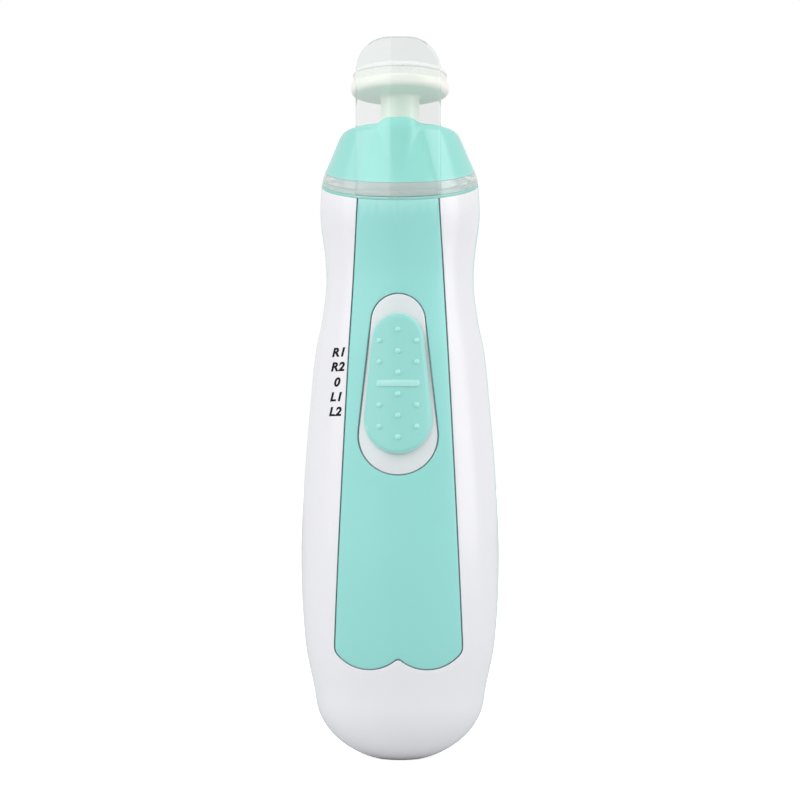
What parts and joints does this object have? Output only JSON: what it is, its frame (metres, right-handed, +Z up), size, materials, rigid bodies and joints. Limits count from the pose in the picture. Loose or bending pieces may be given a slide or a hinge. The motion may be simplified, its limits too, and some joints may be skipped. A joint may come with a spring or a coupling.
{
  "type": "electric baby nail trimmer",
  "caption": "Handheld electric baby nail trimmer: round-footed two-tone handle, sliding speed switch, clear light ring and finger guard round a spinning abrasive disc.",
  "frame": {"origin": "centre of the small flat foot at the bottom of the handle", "axes": "+Z up along the handle to the abrasive disc; the slide switch and the clear guard face -Y; +X is the user's right when facing the switch"},
  "size_m": [0.0452, 0.0393, 0.1599],
  "materials": {
    "shell_white": "smooth moulded ABS, soft gloss",
    "shell_mint": "smooth moulded ABS, soft gloss",
    "panel_mint": "smooth moulded ABS, satin",
    "nose_mint": "smooth moulded ABS, gloss",
    "button_mint": "satin moulded plastic with raised grip dots",
    "clear_plastic": "clear polycarbonate, polished",
    "carrier_cream": "moulded ABS",
    "foam": "closed-cell foam",
    "abrasive": "fine white grit on a paper disc",
    "switch_black": "black nylon",
    "inner_white": "plain moulded ABS",
    "board_green": "solder-masked glass-epoxy board",
    "board_white": "white solder-masked board",
    "led_lens": "clear epoxy lens",
    "motor_steel": "drawn steel can",
    "plated_steel": "nickel plated",
    "screw_steel": "zinc plated",
    "brass": "turned",
    "cell_sleeve": "printed foil sleeve, plain",
    "lead_red": "PVC insulation",
    "lead_black": "PVC insulation"
  },
  "bodies": {
    "handle": {"front_shell": "shell_white", "rear_shell": "shell_mint", "front_panel": "panel_mint", "light_ring": "clear_plastic", "clear_guard": "clear_plastic", "nose_cone": "nose_mint", "switch_housing": "plated_steel", "circuit_board": "board_green", "led_board": "board_white", "leds": "led_lens", "motor_can": "motor_steel", "motor_end_cap": "switch_black", "motor_plate": "inner_white", "motor_screws": "screw_steel", "spindle_bush": "brass", "battery_tray": "inner_white", "battery_left": "cell_sleeve", "battery_right": "cell_sleeve", "spring_left": "plated_steel", "spring_right": "plated_steel", "contact_bridge": "plated_steel", "contact_positive": "plated_steel", "contact_negative": "plated_steel", "shell_screws": "screw_steel", "battery_lead_red": "lead_red", "battery_lead_black": "lead_black", "motor_lead_red": "lead_red", "motor_lead_black": "lead_black"},
    "slider": {"slide_button": "button_mint", "switch_knob": "switch_black"},
    "drive": {"motor_shaft": "plated_steel", "shaft_coupling": "brass", "drive_spindle": "plated_steel"},
    "disc_head": {"disc_carrier": "carrier_cream", "foam_cushion": "foam", "abrasive_disc": "abrasive"},
    "door": {"battery_door": "shell_mint"}
  },
  "joints": [
    {"name": "switch_slide", "type": "slide", "parent": "handle", "child": "slider", "axis": [0, 0.0458, 0.999], "range_m": [-0.0042, 0.0042]},
    {"name": "drive_spin", "type": "hinge", "parent": "handle", "child": "drive", "pos_m": [0, 0, 0.13], "axis": [0, 0, 1], "continuous": true},
    {"name": "disc_pull", "type": "slide", "parent": "drive", "child": "disc_head", "axis": [0, 0, 1], "range_m": [0, 0.012]},
    {"name": "door_lift", "type": "slide", "parent": "handle", "child": "door", "axis": [0, 1, 0], "range_m": [0, 0.02]}
  ]
}
